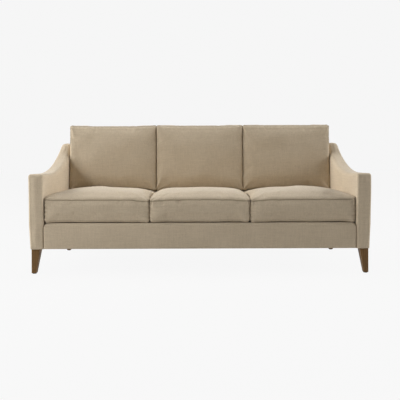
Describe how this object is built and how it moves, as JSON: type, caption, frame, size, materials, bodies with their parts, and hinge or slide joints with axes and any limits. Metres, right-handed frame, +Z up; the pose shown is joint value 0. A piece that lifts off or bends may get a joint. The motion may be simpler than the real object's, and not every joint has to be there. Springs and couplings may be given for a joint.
{
  "type": "three-seat sofa",
  "caption": "Upholstered three-seat sofa with low arms that sweep up into the back, loose boxed seat and back cushions and tapered wooden legs.",
  "frame": {"origin": "floor level under the middle of the sofa", "axes": "+X to the right seen from the front, +Y to the back, +Z up"},
  "size_m": [2, 0.83, 0.9139],
  "materials": {
    "upholstery": "matte",
    "platform_cloth": "matte",
    "dust_cloth": "matte",
    "webbing": "matte",
    "filling": "matte",
    "frame_timber": "matte",
    "leg_wood": "satin",
    "steel": "satin",
    "glide_plastic": "matte",
    "zip_tape": "matte",
    "zip_metal": "satin"
  },
  "bodies": {
    "frame": {"front_seat_rail": "frame_timber", "rear_seat_rail": "frame_timber", "left_seat_rail": "frame_timber", "right_seat_rail": "frame_timber", "seat_stretchers": "frame_timber", "corner_blocks": "frame_timber", "left_arm_post": "frame_timber", "right_arm_post": "frame_timber", "left_arm_top_rail": "frame_timber", "right_arm_top_rail": "frame_timber", "left_back_post": "frame_timber", "right_back_post": "frame_timber", "back_top_rail": "frame_timber", "back_tacking_rail": "frame_timber", "back_uprights": "frame_timber", "seat_webbing": "webbing", "seat_cross_webbing": "webbing", "back_webbing": "webbing", "deck_pad": "filling", "deck_cover": "platform_cloth", "dust_cover": "dust_cloth", "front_border": "upholstery", "left_arm_cover": "upholstery", "right_arm_cover": "upholstery", "back_pad": "upholstery", "outside_back_panel": "upholstery", "front_left_leg": "leg_wood", "front_right_leg": "leg_wood", "rear_left_leg": "leg_wood", "rear_right_leg": "leg_wood", "leg_bolts": "steel", "leg_plates": "steel", "leg_glides": "glide_plastic"},
    "left_seat_cushion": {"left_seat_cover": "upholstery", "left_seat_core": "filling", "left_seat_zip": "zip_tape"},
    "left_seat_zip_slider": {"left_seat_zip_slider": "zip_metal"},
    "middle_seat_cushion": {"middle_seat_cover": "upholstery", "middle_seat_core": "filling", "middle_seat_zip": "zip_tape"},
    "middle_seat_zip_slider": {"middle_seat_zip_slider": "zip_metal"},
    "right_seat_cushion": {"right_seat_cover": "upholstery", "right_seat_core": "filling", "right_seat_zip": "zip_tape"},
    "right_seat_zip_slider": {"right_seat_zip_slider": "zip_metal"},
    "left_back_cushion": {"left_back_cover": "upholstery", "left_back_core": "filling", "left_back_zip": "zip_tape"},
    "left_back_zip_slider": {"left_back_zip_slider": "zip_metal"},
    "middle_back_cushion": {"middle_back_cover": "upholstery", "middle_back_core": "filling", "middle_back_zip": "zip_tape"},
    "middle_back_zip_slider": {"middle_back_zip_slider": "zip_metal"},
    "right_back_cushion": {"right_back_cover": "upholstery", "right_back_core": "filling", "right_back_zip": "zip_tape"},
    "right_back_zip_slider": {"right_back_zip_slider": "zip_metal"}
  },
  "joints": [
    {"name": "left_seat_pull_out", "type": "slide", "parent": "frame", "child": "left_seat_cushion", "axis": [0, -1, 0], "range_m": [0, 0.6]},
    {"name": "left_seat_zip_run", "type": "slide", "parent": "left_seat_cushion", "child": "left_seat_zip_slider", "axis": [-1, 0, 0], "range_m": [0, 0.4]},
    {"name": "middle_seat_pull_out", "type": "slide", "parent": "frame", "child": "middle_seat_cushion", "axis": [0, -1, 0], "range_m": [0, 0.6]},
    {"name": "middle_seat_zip_run", "type": "slide", "parent": "middle_seat_cushion", "child": "middle_seat_zip_slider", "axis": [-1, 0, 0], "range_m": [0, 0.4]},
    {"name": "right_seat_pull_out", "type": "slide", "parent": "frame", "child": "right_seat_cushion", "axis": [0, -1, 0], "range_m": [0, 0.6]},
    {"name": "right_seat_zip_run", "type": "slide", "parent": "right_seat_cushion", "child": "right_seat_zip_slider", "axis": [-1, 0, 0], "range_m": [0, 0.4]},
    {"name": "left_back_lift_out", "type": "slide", "parent": "frame", "child": "left_back_cushion", "axis": [0, 0.0802, 0.9968], "range_m": [0, 0.4]},
    {"name": "left_back_zip_run", "type": "slide", "parent": "left_back_cushion", "child": "left_back_zip_slider", "axis": [1, 0, 0], "range_m": [0, 0.4]},
    {"name": "middle_back_lift_out", "type": "slide", "parent": "frame", "child": "middle_back_cushion", "axis": [0, 0.0802, 0.9968], "range_m": [0, 0.4]},
    {"name": "middle_back_zip_run", "type": "slide", "parent": "middle_back_cushion", "child": "middle_back_zip_slider", "axis": [1, 0, 0], "range_m": [0, 0.4]},
    {"name": "right_back_lift_out", "type": "slide", "parent": "frame", "child": "right_back_cushion", "axis": [0, 0.0802, 0.9968], "range_m": [0, 0.4]},
    {"name": "right_back_zip_run", "type": "slide", "parent": "right_back_cushion", "child": "right_back_zip_slider", "axis": [1, 0, 0], "range_m": [0, 0.4]}
  ]
}
